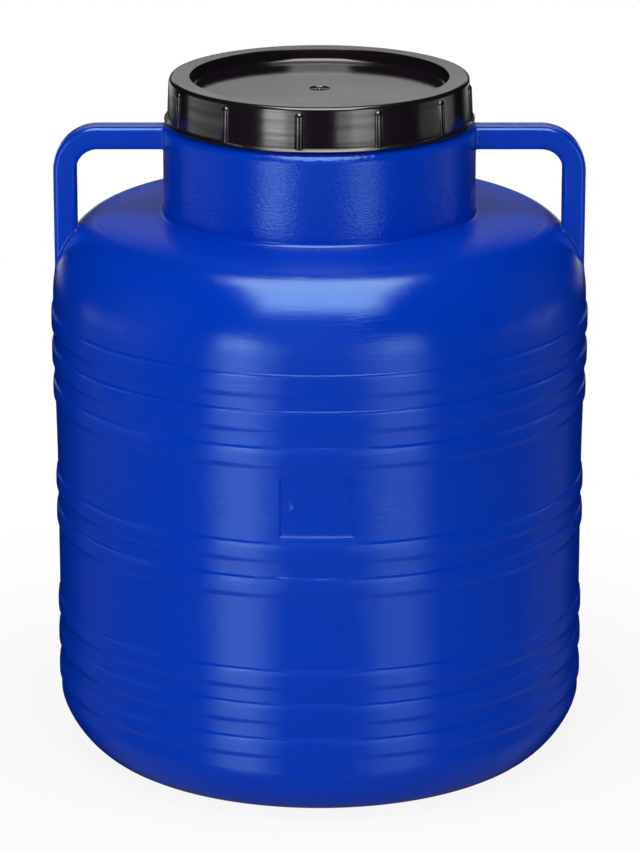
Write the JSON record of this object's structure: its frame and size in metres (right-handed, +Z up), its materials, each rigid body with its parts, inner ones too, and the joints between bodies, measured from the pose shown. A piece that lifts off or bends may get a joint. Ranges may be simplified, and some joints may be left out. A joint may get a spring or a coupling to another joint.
{
  "type": "plastic barrel",
  "caption": "Wide-necked plastic barrel with raised bands round its wall, carrying handles from neck to shoulder, and a ribbed screw lid with a recessed top.",
  "frame": {"origin": "centre of the base, on the surface that the barrel stands on", "axes": "+Z up along the barrel's axis, +X from one handle to the other, -Y out of the recessed plate on the front"},
  "size_m": [0.3734, 0.3734, 0.477],
  "materials": {
    "barrel_body": "satin blow-moulded polyethylene, deep blue",
    "screw_lid": "glossy injection-moulded plastic, black",
    "lid_gasket": "soft grey seal"
  },
  "bodies": {
    "barrel": {"barrel_body": "barrel_body"},
    "seal": {"lid_gasket": "lid_gasket"},
    "lid": {"screw_lid": "screw_lid"}
  },
  "joints": [
    {"name": "lid_lift", "type": "slide", "parent": "barrel", "child": "seal", "axis": [0, 0, 1], "range_m": [0, 0.0321]},
    {"name": "lid_turn", "type": "hinge", "parent": "seal", "child": "lid", "pos_m": [0, 0, 0.46], "axis": [0, 0, 1], "range_deg": [0, 1440]}
  ],
  "couplings": [
    {"joint": "lid_lift", "follows": "lid_turn", "m_per_rad": 0.0012732}
  ]
}
